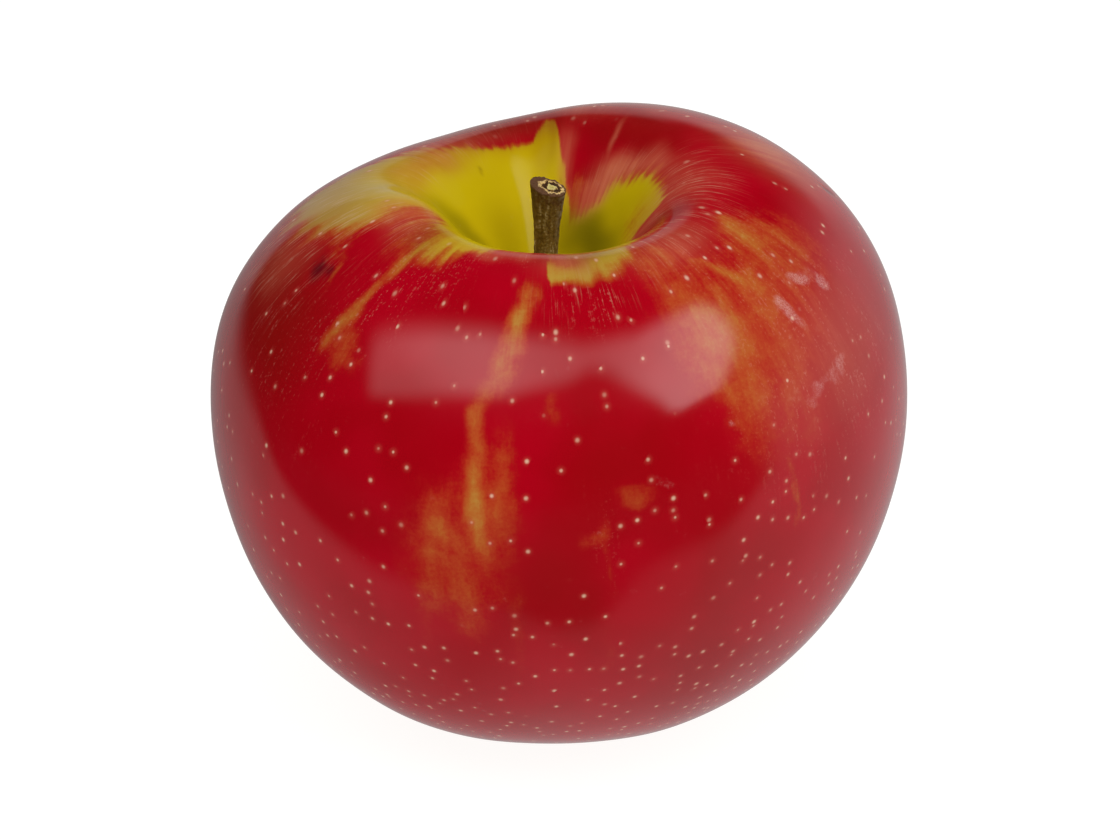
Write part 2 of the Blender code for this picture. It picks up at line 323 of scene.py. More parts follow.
# Uneven fields: the seed, the number of waves, and the shortest and longest wave
SKIN_RIPPLES = (3, 30, 9.0 * MM, 24.0 * MM)
SIDE_WANDER = (11, 30, 2.5 * MM, 8.0 * MM)
LONG_WANDER = (12, 30, 2.5 * MM, 8.0 * MM)
BARK_LUMPS = (5, 40, 0.5 * MM, 1.4 * MM)
SMALL_BARK_LUMPS = (7, 40, 0.25 * MM, 0.5 * MM)
FACE_LUMPS = (6, 30, 0.3 * MM, 0.9 * MM)
FRINGE_SEED, CALYX_SEED = 21, 9

# The dots lie on a grid of cells, one dot at most in each, over the azimuth and the reach. Lengths are in
# millimetres, and a span is where a change begins and where it is complete.
DOT_COLUMNS = 20.0  # cells in a radian
DOT_ROW = 2.0  # a cell's length
DOT_SCATTER = 0.95  # 0 keeps the dots in the middle of their cells
DOT_SPREAD_SPAN, FEWEST_DOTS, MOST_DOTS = (40.0, 100.0), 0.10, 0.62  # how many cells have one
FIRST_DOTS_SPAN, LAST_DOTS_SPAN = (20.0, 28.0), (106.0, 119.0)
DOT_RADIUS, DOT_RADIUS_RANGE = 0.18, 0.14
DOT_EDGE_SPAN = (0.15, 1.15)  # as shares of the dot's radius
DOT_AMOUNT, DOT_AMOUNT_RANGE = 0.3, 0.6
LONG_DOTS_SPAN, LONG_DOTS_SHARE = (22.0, 50.0), 0.6  # near the funnel dots are this share as wide as long
HALO_RADIUS = 0.9

# The grain of the skin: the noises' scales, and how they are stretched round the fruit and outwards
BROAD_SCALE, MOTTLE_SCALE, GRAIN_SCALE = 90.0, 420.0, 2600.0
STREAK_STRETCH = (13.0, 13.0, 6.0)
HAIR_STRETCH = (120.0, 120.0, 22.0)

# How these break up the blush's edge. Where there are two shares, they are near the funnel and far from it.
STREAK_SPAN, STREAK_SHARES = (30.0, 55.0), (1.5, 0.5)
MOTTLE_SHARE, GRAIN_SHARE = 0.9, 0.5
RAGGED_SPAN, RAGGED_SHARES, RAGGED_ALWAYS = (24.0, 42.0), (0.5, 0.45), 0.05
OUTER_SPAN = (20.0, 30.5)  # where the inner colours change to the outer ones
LINE_AMOUNT, FLECK_AMOUNT, HALO_AMOUNT = 0.45, 0.5, 0.34
SCUFF_MOTTLE, SCUFF_LEAST, SCUFF_THREADS = 1.6, 0.12, 0.5

# The wax, which is nearly missing in the funnel, and the skin below it
WAX_SPAN, FUNNEL_WAX, RUBBED_WAX = (19.0, 25.0), 0.03, 0.4
WAX_ROUGHNESS, LEAST_ROUGHNESS, MOST_ROUGHNESS = 0.11, 0.42, 0.55
MOTTLE_BUMP, MARK_BUMP = 0.005 * MM, 0.010 * MM

# The noises of the bark, whose streaks are drawn out along the stem, and of the dry leaves
BARK_STREAK_SCALE, BARK_SPECK_SCALE, BARK_BLOT_SCALE = 2200.0, 3600.0, 900.0
BARK_STRETCH = (1.0, 1.0, 0.2)
LEAF_FUZZ_SCALE, LEAF_BLOT_SCALE = 3000.0, 700.0

# The room that the skin mirrors. The ceiling has two soft boxes with a dimmer piece between them. A place on
# it is across, from left to right, and deep, from front to back, on a level one unit above the fruit.
CEILING_GLOW = (  # across, brightness
    (-1.3, 0.24), (-0.88, 0.29), (-0.64, 0.50), (-0.44, 0.56), (-0.16, 0.34), (0.0, 0.29),
    (0.2, 0.42), (0.48, 0.72), (0.84, 0.82), (1.16, 0.74), (1.5, 0.70),
)
CEILING_FAR_EDGE = (  # across, deep
    (-1.3, 0.28), (-0.95, 0.14), (-0.37, -0.09), (-0.06, -0.33), (0.22, -0.30), (0.54, 0.02),
    (0.70, 0.03), (1.1, -0.14), (1.5, -0.4),
)
CEILING_NEAR_EDGE = (  # across, deep
    (-1.4, -0.42), (-0.39, -0.78), (-0.12, -0.70), (0.0, -0.58), (0.14, -0.64), (0.42, -0.92),
    (0.85, -1.34), (1.05, -1.36), (1.45, -0.9),
)
CEILING_LEFT_SLANT, CEILING_LEFT_SPAN = 0.78, (-1.20, -0.94)
CEILING_RIGHT_SLANT, CEILING_RIGHT_SPAN = 0.45, (0.86, 1.18)
CEILING_FAR_FADE, CEILING_NEAR_FADE = (-0.14, 0.12), (-0.14, 0.16)
CEILING_STRENGTH = 4.6
WALL_TOP = (  # direction's x, direction's z where the pale wall and table end
    (-1.0, -0.13), (-0.6, -0.13), (-0.35, 0.28), (-0.2, 0.42), (-0.06, 0.40), (0.06, 0.27),
    (0.2, 0.18), (1.0, 0.14),
)
WALL_GLOW = (  # direction's x, brightness of the pale wall and table
    (-1.0, 0.36), (-0.6, 0.36), (-0.25, 0.27), (0.0, 0.42), (0.7, 0.50), (1.0, 0.50),
)
DARK_GLOW = 0.005  # the rest of the room

# The studio, with lengths in metres
FLOOR_HALF_SIDE = 3.0
FLOOR_WHITE, FLOOR_GLOW = 0.15, 0.95
STUDIO_LIGHTS = (  # name, degrees right of the front, degrees up, distance, size, watts
    ("left_soft_light", -28.0, 55.0, 0.8, 0.5, 1.35),
    ("right_soft_light", 20.0, 55.0, 0.8, 0.5, 1.55),
    ("back_soft_light", 180.0, 50.0, 0.9, 0.6, 1.6),
)
CAMERA_ELEVATION, CAMERA_DISTANCE = 30.0, 0.45
PHOTO_WIDTH = 1120.0  # pixels, as the next three are
FOCAL_LENGTH = 3915.0
SHIFT_RIGHT, SHIFT_UP = 1.13, -22.23
SENSOR_WIDTH = 36.0  # millimetres

# Colours, as shares of the light that comes back
RED_BRIGHT = (0.405, 0.0004, 0.009)
RED_DEEP = (0.355, 0.0003, 0.006)
# The dark red of thick blush, also laid on as painted shade
DEEP_BLUSH_AND_SHADE = (0.185, 0.006, 0.002)
OUTER_COLOURS = (
    (0.0, (0.38, 0.001, 0.008)),
    (0.2, (0.41, 0.020, 0.009)),
    (0.4, (0.44, 0.060, 0.014)),
    (0.6, (0.45, 0.115, 0.020)),
    (0.8, (0.45, 0.200, 0.035)),
    (1.0, (0.45, 0.275, 0.058)),
)
INNER_COLOURS = (
    (0.0, (0.38, 0.001, 0.008)),
    (0.3, (0.43, 0.040, 0.008)),
    (0.55, (0.44, 0.120, 0.008)),
    (0.8, (0.50, 0.300, 0.006)),
    (1.0, (0.53, 0.395, 0.003)),
)
# The funnel's green ground, darkened as painted shade
SHADED_GREEN_GROUND = (0.16, 0.125, 0.002)
PINK = (0.58, 0.150, 0.080)
LINE_PALE = (0.60, 0.40, 0.26)
FLECK_PALE = (0.55, 0.17, 0.13)
DOT_HALO = (0.52, 0.10, 0.07)
DOT_PALE = (0.72, 0.45, 0.31)
SCUFF_PALE = (0.66, 0.38, 0.36)
BRUISE_DARK = (0.07, 0.004, 0.008)
BARK_COLOURS = (
    (0.30, (0.030, 0.013, 0.001)),
    (0.44, (0.095, 0.045, 0.004)),
    (0.54, (0.145, 0.082, 0.010)),
    (0.62, (0.260, 0.180, 0.070)),
    (0.74, (0.450, 0.360, 0.200)),
)
BARK_DARK = (0.060, 0.016, 0.002)
BARK_GREY = (0.26, 0.22, 0.15)
CUT_FACE_COLOURS = (  # from the pith outwards
    (0.0, (0.22, 0.17, 0.04)),
    (0.14, (0.50, 0.42, 0.12)),
    (0.27, (0.62, 0.52, 0.20)),
    (0.35, (0.16, 0.065, 0.005)),
    (0.44, (0.025, 0.009, 0.001)),
    (0.66, (0.06, 0.020, 0.002)),
    (0.72, (0.58, 0.38, 0.12)),
    (0.82, (0.62, 0.45, 0.20)),
    (0.88, (0.14, 0.065, 0.020)),
    (1.0, (0.10, 0.042, 0.016)),
)
LEAF_COLOURS = (
    (0.15, (0.030, 0.014, 0.005)),
    (0.40, (0.100, 0.050, 0.017)),
    (0.60, (0.190, 0.115, 0.050)),
    (0.85, (0.300, 0.215, 0.110)),
)


def wave_sum(azimuth, waves):
    """The sum of amount * cos(count * (azimuth - crest)) over the waves."""
    return sum(amount * np.cos(count * (azimuth - np.radians(crest))) for amount, count, crest in waves)


def smooth_step(value):
    """0 below 0 and 1 above 1, with level ends."""
    value = np.clip(value, 0.0, 1.0)
    return value * value * (3.0 - 2.0 * value)


def turn_between(azimuth, degrees):
    """How far an azimuth in radians is from one in degrees, in degrees from -180 to 180."""
    return np.degrees(np.angle(np.exp(1j * (azimuth - np.radians(degrees)))))


def funnel_radius(azimuth):
    """The funnel's radius: a constant, and for each furrow a bell curve over the azimuth."""
    radius = np.full_like(azimuth, FUNNEL_RADIUS)
    for crest, half_width, extra in FURROWS:
        radius += extra * np.exp(-0.5 * (turn_between(azimuth, crest) / half_width) ** 2)
    return radius


def basin_lift(distance):
    """How far the basin raises the underside, as a bell curve of the distance from its axis."""
    return BASIN_DEPTH * np.exp(-((distance / BASIN_RADIUS) ** 2))


def fruit_surface(azimuth, polar):
    """Points of the fruit's skin, by the solid's own formula.

    side and high are the superellipse's sine and cosine of the polar angle, and upper is the
    share of the upper half, from 0 to 1 across the girth. The distance from the axis is side
    times a radius with waves round the girth. The height is high times the half's height.
    Above, the shoulders' lean and waves are added and the funnel is taken off, and the axis
    moves over to the stem. Below, the basin is added, and the feet are taken off.
    """
    upper = smooth_step((np.cos(polar) + GIRTH_BLEND) / (2.0 * GIRTH_BLEND))
    power = 2.0 / (LOWER_SQUARENESS + (UPPER_SQUARENESS - LOWER_SQUARENESS) * upper)
    side = np.sin(polar) ** power
    high = np.sign(np.cos(polar)) * np.abs(np.cos(polar)) ** power
    top = 0.5 * (high + np.sqrt(high**2 + SHOULDER_SOFTNESS**2))

    distance = RADIUS * (1.0 + wave_sum(azimuth, GIRTH_WAVES)) * side
    x = distance * np.cos(azimuth) + STEM_AXIS_X * top
    y = distance * np.sin(azimuth) + STEM_AXIS_Y * top

    lean = SHOULDER_LEAN_X * np.cos(azimuth) + SHOULDER_LEAN_Y * np.sin(azimuth)
    shoulders = lean * distance * top * (2.0 - top) + wave_sum(azimuth, SHOULDER_WAVES) * side**2 * top
    body = (LOWER_HEIGHT + (UPPER_HEIGHT - LOWER_HEIGHT) * upper) * high + shoulders

    funnel = FUNNEL_DEPTH * np.exp(-((distance / funnel_radius(azimuth)) ** FUNNEL_STEEPNESS))
    ring = np.exp(-(((distance - FOOT_RING_RADIUS) / FOOT_RING_WIDTH) ** 2))
    feet = wave_sum(azimuth, ((FOOT_HEIGHT, FOOT_COUNT, FOOT_AZIMUTH),)) * ring
    z = body + np.where(high > 0.0, -funnel, basin_lift(distance) - feet)
    return np.stack([x, y, z], axis=-1)


def outward(points):
    """Unit normals of a grid of rings by sides: the ring's step crossed with the side's step."""
    down = np.gradient(points, axis=0)
    round_about = np.roll(points, -1, axis=1) - np.roll(points, 1, axis=1)
    normal = np.cross(down, round_about)
    length = np.linalg.norm(normal, axis=-1, keepdims=True)
    return normal / np.maximum(length, 1e-15)


def ripples(points, seed, count, shortest, longest):
    """A smooth uneven field of about -1 to 1: the mean of plane sine waves that run every way."""
    random = np.random.default_rng(seed)
    field = np.zeros(points.shape[:-1])
    for _ in range(count):
        way = random.normal(size=3)
        way *= 2.0 * np.pi / (np.linalg.norm(way) * random.uniform(shortest, longest))
        field += np.sin(points @ way + random.uniform(0.0, 2.0 * np.pi))
    return field * np.sqrt(2.0 / count)


def closed_piece(name, grids):
    """One mesh of closed shells. A shell is rings by sides of points, whose end rings are single points."""
    vertices, faces, first = [], [], 0
    for points in grids:
        rings, sides = points.shape[:2]
        vertices += [points[:1, 0], points[1:-1].reshape(-1, 3), points[-1:, 0]]
        here = np.arange(sides)
        after = (here + 1) % sides
        ring = first + 1 + np.arange(rings - 3)[:, None] * sides
        quads = np.stack([ring + here, ring + sides + here, ring + sides + after, ring + after], axis=-1)
        low = first + 1 + (rings - 3) * sides
        last = low + sides
        first_fan = np.stack([np.full_like(here, first), first + 1 + here, first + 1 + after], axis=-1)
        last_fan = np.stack([np.full_like(here, last), low + after, low + here], axis=-1)
        faces += quads.reshape(-1, 4).tolist() + first_fan.tolist() + last_fan.tolist()
        first = last + 1
    mesh = bpy.data.meshes.new(name)
    mesh.from_pydata(np.concatenate(vertices).tolist(), [], faces)
    mesh.shade_smooth()
    piece = bpy.data.objects.new(name, mesh)
    bpy.context.scene.collection.objects.link(piece)
    return piece


def store(piece, name, flat, domain):
    """Stores a flat array of numbers or of vectors as an attribute of the piece's mesh."""
    is_vector = flat.ndim == 2
    attribute = piece.data.attributes.new(name, "FLOAT_VECTOR" if is_vector else "FLOAT", domain)
    attribute.data.foreach_set("vector" if is_vector else "value", flat.astype(np.float32).ravel())


def keep_attribute(piece, name, grids):
    """Stores a number or a vector for each point of the piece's grids."""
    parts = []
    for values in grids:
        parts += [values[:1, 0], values[1:-1].reshape((-1,) + values.shape[2:]), values[-1:, 0]]
    store(piece, name, np.concatenate(parts), "POINT")


def keep_corner_attribute(piece, name, values):
    """Stores a vector for each face corner of one grid. The values have one column more than it has sides."""
    quads = np.stack([values[1:-2, :-1], values[2:-1, :-1], values[2:-1, 1:], values[1:-2, 1:]], axis=2)
    first_fan = np.stack([values[0, :-1], values[1, :-1], values[1, 1:]], axis=1)
    last_fan = np.stack([values[-1, :-1], values[-2, 1:], values[-2, :-1]], axis=1)
    corners = [part.reshape(-1, values.shape[2]) for part in (quads, first_fan, last_fan)]
    store(piece, name, np.concatenate(corners), "CORNER")


def covered_by(marks, azimuth, reach):
    """How far marks cover the skin: 1 less the product of 1 - amount * bell over the marks.

    A bell is about one half at the mark's half width and at its half length.
    """
    free = np.ones_like(azimuth)
    for centre, middle, half_width, half_length, slant, amount in marks:
        across = turn_between(azimuth, centre) - slant * (reach - middle)
        power = np.abs(across / half_width) ** BELL_SIDE_POWER
        power += np.abs((reach - middle) / half_length) ** BELL_LENGTH_POWER
        free *= 1.0 - amount * np.exp(-BELL_FALL * power)
    return 1.0 - free


def fringe(azimuth):
    """Uneven fingers round the fruit, from -1 to 1: a sum of cosines of whole multiples of the azimuth."""
    random = np.random.default_rng(FRINGE_SEED)
    counts = random.integers(FEWEST_FINGERS, MOST_FINGERS, FINGER_COUNT)
    waves = sum(np.cos(count * azimuth + random.uniform(0.0, 2.0 * np.pi)) for count in counts)
    return np.tanh(waves * np.sqrt(2.0 / FINGER_COUNT))


def bare_share(azimuth, reach, fingers):
    """How far the blush is missing: whole inside the funnel's edge, and partly in the pale streaks."""
    edge_azimuth, edge_reach, edge_width = np.array(FUNNEL_EDGE, float).T
    edge = np.interp(np.degrees(azimuth), edge_azimuth, edge_reach, period=360.0)
    width = np.interp(np.degrees(azimuth), edge_azimuth, edge_width, period=360.0)
    ground = smooth_step(0.5 + (edge + FRINGE_SHARE * width * fingers - reach) / (2.0 * width))
    ground *= 1.0 - covered_by(THIN_BLUSH, azimuth, reach)
    return 1.0 - (1.0 - ground) * (1.0 - covered_by(PALE_STREAKS, azimuth, reach))


def make_skin():
    """The skin: the solid's surface on a fine grid, with slow ripples along its normals.

    A low collar closes the funnel round the stem, and the scuffs and bruises lie slightly lower.
    """
    side_angle = np.linspace(-np.pi, np.pi, SKIN_SIDES, endpoint=False)
    polar = np.linspace(0.0, np.pi, SKIN_RINGS)
    polar = polar - 0.5 * SKIN_RING_CROWDING * np.sin(2.0 * polar)
    azimuth, polar = np.meshgrid(side_angle, polar)
    points = fruit_surface(azimuth, np.clip(polar, 0.0, np.pi))
    step = np.linalg.norm(np.diff(points, axis=0), axis=-1)
    reach = np.concatenate([np.zeros((1, SKIN_SIDES)), np.cumsum(step, axis=0)]) / MM

    wander = azimuth + np.radians(WOBBLE_TURN) * ripples(points, *SIDE_WANDER)
    wander_reach = reach + WOBBLE_LENGTH * ripples(points, *LONG_WANDER)
    scuffed = covered_by(SCUFFS, wander, wander_reach)
    bruised = covered_by(BRUISES, wander, wander_reach)
    attributes = {
        "strand": np.stack([np.cos(azimuth), np.sin(azimuth), reach * 0.01], axis=-1),
        "reach": reach,
        "breadth": np.hypot(points[..., 0], points[..., 1]) / MM,
        "bare": bare_share(wander, wander_reach, fringe(azimuth)),
        "deeper": covered_by(DEEP_AND_SHADED_PARTS, wander, wander_reach),
        "pink": covered_by(PINK_PARTS, wander, wander_reach),
        "glossy": covered_by(GLOSSY_PARTS, azimuth, reach),
        "green": covered_by(GREEN_AND_SHADED_PARTS, wander, wander_reach),
        "combed": covered_by(COMBED_PARTS, azimuth, reach),
        "flecked": covered_by(FLECKED_PARTS, wander, wander_reach),
        "scuffed": scuffed,
        "bruised": bruised,
    }

    relief = SKIN_RIPPLE * ripples(points, *SKIN_RIPPLES)
    relief = relief - SCUFF_DEPTH * scuffed - BRUISE_DEPTH * bruised
    from_stem = np.hypot(points[..., 0] - STEM_ROOT_X, points[..., 1] - STEM_ROOT_Y)
    collar = COLLAR_HEIGHT * np.exp(-((from_stem / COLLAR_RADIUS) ** 2))
    points = points + outward(points) * (relief * MM)[..., None]
    points[..., 2] += np.where(reach < COLLAR_REACH, collar, 0.0)

    # The feet are cut flat, and the flats come to the level where the fruit stands.
    points[..., 2] = np.maximum(points[..., 2], points[..., 2].min() + FOOT_FLAT)
    points[..., 2] -= points[..., 2].min() + BODY_MIDDLE[2]

    skin = closed_piece("fruit_skin", [points + BODY_MIDDLE])
    for name, values in attributes.items():
        keep_attribute(skin, name, [values])
    turns = np.linspace(-np.pi, np.pi, SKIN_SIDES + 1)
    lengths = np.concatenate([reach, reach[:, :1]], axis=1)
    columns = np.broadcast_to(turns * DOT_COLUMNS, lengths.shape)
    cells = np.stack([columns, lengths / DOT_ROW, np.zeros_like(lengths)], axis=-1)
    keep_corner_attribute(skin, "dot_cells", cells)
    return skin


def make_stem():
    """The stem as a tube with a flared, slanting, weathered cut end and small lumps along its bark.

    The first rings make the cut face, from its middle out, and the others run down the side.
    """
    side_angle = np.linspace(-np.pi, np.pi, STEM_SIDES, endpoint=False)
    across_face = np.linspace(0.0, 1.0, STEM_FACE_RINGS, endpoint=False)
    down = np.linspace(0.0, 1.0, STEM_RINGS - STEM_FACE_RINGS - 1)
    across = np.concatenate([across_face, np.ones_like(down), [0.0]])[:, None]
    along = np.concatenate([np.ones_like(across_face), 1.0 - down, [0.0]])[:, None]
    azimuth = side_angle[None, :]

    root = UPPER_HEIGHT - FUNNEL_DEPTH - SOCKET_DEPTH
    flare = smooth_step((along - STEM_FLARE_START) / (2.0 - 2.0 * STEM_FLARE_START)) * 2.0
    rim = (STEM_RADIUS + STEM_FLARE * flare) * (1.0 + STEM_OVAL * np.cos(2.0 * azimuth))
    ridge_phase = 2.0 * np.sin(5.0 * along)
    ridges = 0.5 * np.cos(BROAD_RIDGES * azimuth + ridge_phase)
    ridges = ridges + 0.35 * np.cos(NARROW_RIDGES * azimuth - 3.0 * along)
    radius = (rim + RIDGE_HEIGHT * ridges) * across
    side_x = radius * np.cos(azimuth)
    side_y = radius * np.sin(azimuth)
    slant = (STEM_CUT_FALL_X * side_x + STEM_CUT_FALL_Y * side_y) * along**4
    x = STEM_ROOT_X + (STEM_TOP_X - STEM_ROOT_X) * along + side_x
    y = STEM_ROOT_Y + (STEM_TOP_Y - STEM_ROOT_Y) * along + side_y
    z = root + (STEM_TOP_HEIGHT - root) * along - slant
    points = np.stack([x, y, z], axis=-1)

    along_all = np.broadcast_to(along, x.shape)
    face = np.stack([across * np.cos(azimuth), across * np.sin(azimuth), along_all], axis=-1)
    wood = np.hypot(face[..., 0] - WOOD_SHIFT, face[..., 1]) / (1.0 - WOOD_SHIFT)
    on_face = smooth_step((along - FACE_START) / 0.015) * np.ones_like(x)
    hollow = np.exp(-(((wood - 0.5) / 0.14) ** 2)) + 0.5 * smooth_step((wood - 0.86) / 0.1)
    points[..., 2] -= on_face * (FACE_HOLLOW * hollow + FACE_LUMP * ripples(points, *FACE_LUMPS)) * MM
    lumps = BARK_LUMP * ripples(points, *BARK_LUMPS)
    lumps += SMALL_BARK_LUMP * ripples(points, *SMALL_BARK_LUMPS)
    bark = (1.0 - on_face) * lumps * MM
    points = points + outward(points) * bark[..., None]

    stem = closed_piece("woody_stem", [points + BODY_MIDDLE])
    keep_attribute(stem, "face", [face])
    keep_attribute(stem, "wood", [wood])
    return stem


def underside(distance):
    """The basin's height at a distance from its axis, from the fruit's own surface."""
    polar = np.linspace(np.pi, 0.7 * np.pi, 200)
    line = fruit_surface(np.zeros_like(polar), polar)
    return np.interp(distance, line[:, 0], line[:, 2])


def make_sepal(number, random):
    """A dried leaf as a thin closed tongue, and how far along the leaf each of its points lies.

    Its middle line runs outwards and hangs below the basin by a part of a sine wave, its width
    narrows to the tip, and its edges curl up and are crinkled.
    """
    turn = np.linspace(0.0, 2.0 * np.pi, SEPAL_SIDES, endpoint=False)[None, :]
    along = np.linspace(0.0, 1.0, SEPAL_RINGS)[:, None]
    share = np.cos(turn)
    scatter = random.uniform(-SEPAL_SCATTER, SEPAL_SCATTER)
    facing = np.radians(SEPAL_AZIMUTH + 360.0 / SEPAL_COUNT * number + scatter)
    length = random.uniform(SEPAL_SHORTEST, 1.0)
    sway = random.uniform(-SEPAL_SWAY, SEPAL_SWAY) * MM
    hang_turn = random.uniform(*SEPAL_HANG_TURN)
    out = SEPAL_START + (SEPAL_REACH - SEPAL_START) * length * along**1.1
    hang = -SEPAL_ROOT_RISE * MM + random.uniform(*SEPAL_HANG) * MM * np.sin(np.pi * along * hang_turn)
    width = SEPAL_HALF_WIDTH * (1.0 - along**2.4) ** 0.7 * (0.75 + 0.35 * np.sin(np.pi * along))
    crinkle = 0.16 * np.sin(11.0 * along + 5.0 * share + number) + 0.1 * np.sin(23.0 * along - 4.0 * share)
    edge_curl = SEPAL_EDGE_CURL * share**2 * np.sin(np.pi * along)
    lift = (edge_curl + crinkle * along * (0.4 + np.abs(share))) * MM
    thickness = SEPAL_HALF_THICKNESS * np.sqrt(np.clip(1.0 - along**6, 0.0, 1.0)) * np.sin(turn)
    side = width * share + sway * along**2
    x = out * np.cos(facing) - side * np.sin(facing)
    y = out * np.sin(facing) + side * np.cos(facing)
    z = underside(np.hypot(x, y)) - hang + lift + thickness
    return np.stack([x, y, z], axis=-1)[:, ::-1], np.broadcast_to(along, x.shape)


def make_thread(number, random):
    """A dry thread of the tuft, a thin bent tube with a bead at its end, and how far along its points lie."""
    turn = np.linspace(0.0, 2.0 * np.pi, THREAD_SIDES, endpoint=False)[None, :]
    along = np.linspace(0.0, 1.0, THREAD_RINGS)[:, None]
    facing = GOLDEN_ANGLE * number
    start = TUFT_RADIUS * np.sqrt((number + 0.5) / THREAD_COUNT)
    lean = random.uniform(*THREAD_LEAN) * MM
    drop = random.uniform(*THREAD_DROP) * MM
    bead = np.exp(-(((along - BEAD_PLACE) / BEAD_LENGTH) ** 2))
    rounded_ends = np.sqrt(np.clip(1.0 - (2.0 * along - 1.0) ** 8, 0.0, 1.0))
    radius = (THREAD_RADIUS + BEAD_SWELL * bead) * MM * rounded_ends
    bend = THREAD_BEND * np.sin(3.0 * along + number)
    out = start + lean * along**2
    x = out * np.cos(facing) - bend * np.sin(facing) + radius * np.cos(turn)
    y = out * np.sin(facing) + bend * np.cos(facing) + radius * np.sin(turn)
    z = underside(0.0) + 0.5 * MM - drop * along + np.zeros_like(x)
    return np.stack([x, y, z], axis=-1)[:, ::-1], np.broadcast_to(0.3 * along, x.shape)


def make_calyx():
    """The dried calyx: curled leaves round a tuft of dry threads, hanging in the basin."""
    random = np.random.default_rng(CALYX_SEED)
    shells = [make_sepal(number, random) for number in range(SEPAL_COUNT)]
    shells += [make_thread(number, random) for number in range(THREAD_COUNT)]
    calyx = closed_piece("dried_calyx", [points + BODY_MIDDLE for points, _ in shells])
    keep_attribute(calyx, "along", [along for _, along in shells])
    return calyx


class Value:
    """A number from a node's socket, so that a formula on it adds its Math nodes."""

    def __init__(self, kit, socket):
        self.kit, self.socket = kit, socket

    def math(self, operation, *others):
        """One Math node on this number and others."""
        inputs = dict(enumerate((self, *others)))
        return self.kit.value("ShaderNodeMath", {"operation": operation}, inputs)

    def __add__(self, other):
        return self.math("ADD", other)

    def __sub__(self, other):
        return self.math("SUBTRACT", other)

    def __rsub__(self, other):
        return self.math("MULTIPLY_ADD", -1.0, other)

    def __mul__(self, other):
        return self.math("MULTIPLY", other)

    def __truediv__(self, other):
        return self.math("DIVIDE", other)

    def __pow__(self, other):
        return self.math("POWER", other)

    def between(self, low, high, start=0.0, end=1.0):
        """Goes smoothly from start to end while this number goes from low to high."""
        sockets = {"Value": self, "From Min": low, "From Max": high, "To Min": start, "To Max": end}
        return self.kit.value("ShaderNodeMapRange", {"interpolation_type": "SMOOTHSTEP"}, sockets)


class NodeKit:
    """Adds nodes to one tree."""

    def __init__(self, tree):
        self.tree = tree

    def node(self, kind, settings=None, sockets=None):
        """One node of a type, with its settings set first, then the values or links of its sockets."""
        made = self.tree.nodes.new(kind)
        for name, setting in (settings or {}).items():
            if name == "stops":
                while len(made.color_ramp.elements) < len(setting):
                    made.color_ramp.elements.new(0.5)
                for element, (position, colour) in zip(made.color_ramp.elements, setting):
                    element.position, element.color = position, (*colour, 1.0)
            else:
                setattr(made, name, setting)
        for name, content in (sockets or {}).items():
            if isinstance(content, Value):
                self.tree.links.new(content.socket, made.inputs[name])
            else:
                made.inputs[name].default_value = content
        return made

    def value(self, kind, settings=None, sockets=None, output=0):
        """One output of a new node, by its number or its name."""
        return Value(self, self.node(kind, settings, sockets).outputs[output])

    def attribute(self, name, output="Fac"):
        """A number, or with the output Vector a vector, that the mesh stores under this name."""
        return self.value("ShaderNodeAttribute", {"attribute_name": name}, output=output)

    def noise(self, where, scale, detail=2.0, roughness=0.5):
        """Cloudy noise of about 0.2 to 0.8 at a place."""
        sockets = {"Vector": where, "Scale": scale, "Detail": detail, "Roughness": roughness}
        return self.value("ShaderNodeTexNoise", {"noise_dimensions": "3D"}, sockets)

    def stretched(self, where, factors):
        """A vector with each of its parts multiplied."""
        return self.value("ShaderNodeVectorMath", {"operation": "MULTIPLY"}, {0: where, 1: factors})

    def ramp(self, share, stops):
        """A colour between the stops' colours, for a share from 0 to 1."""
        return self.value("ShaderNodeValToRGB", {"stops": stops}, {"Fac": share})

    def curve(self, number, points):
        """Straight lines through points (from, to), by a ramp. All numbers lie between -2 and 2."""
        stops = [((start + 2.0) / 4.0, ((end + 2.0) / 4.0,) * 3) for start, end in points]
        return self.ramp((number + 2.0) * 0.25, stops) * 4.0 - 2.0

    def mix(self, share, first, second):
        """Goes from the first colour to the second as share goes from 0 to 1."""
        first, second = (side if isinstance(side, Value) else (*side, 1.0) for side in (first, second))
        sockets = {0: share, 6: first, 7: second}
        return self.value("ShaderNodeMix", {"data_type": "RGBA"}, sockets, output=2)


def new_material(name):
    """A material, a kit that adds nodes to it, and its shader."""
    material = bpy.data.materials.new(name)
    material.use_nodes = True
    shader = material.node_tree.nodes["Principled BSDF"]
    return material, NodeKit(material.node_tree), shader


def finish_shader(kit, shader, colour, roughness, heights, constants):
    """Joins colour, roughness and a chain of bumps (height, size in metres) to the shader."""
    kit.tree.links.new(colour.socket, shader.inputs["Base Color"])
    kit.tree.links.new(roughness.socket, shader.inputs["Roughness"])
    normal = None
    for height, size in heights:
        sockets = {"Height": height, "Distance": size, "Strength": 1.0}
        if normal is not None:
            sockets["Normal"] = normal
        normal = kit.value("ShaderNodeBump", {}, sockets)
    kit.tree.links.new(normal.socket, shader.inputs["Normal"])
    for name, content in constants.items():
        shader.inputs[name].default_value = content


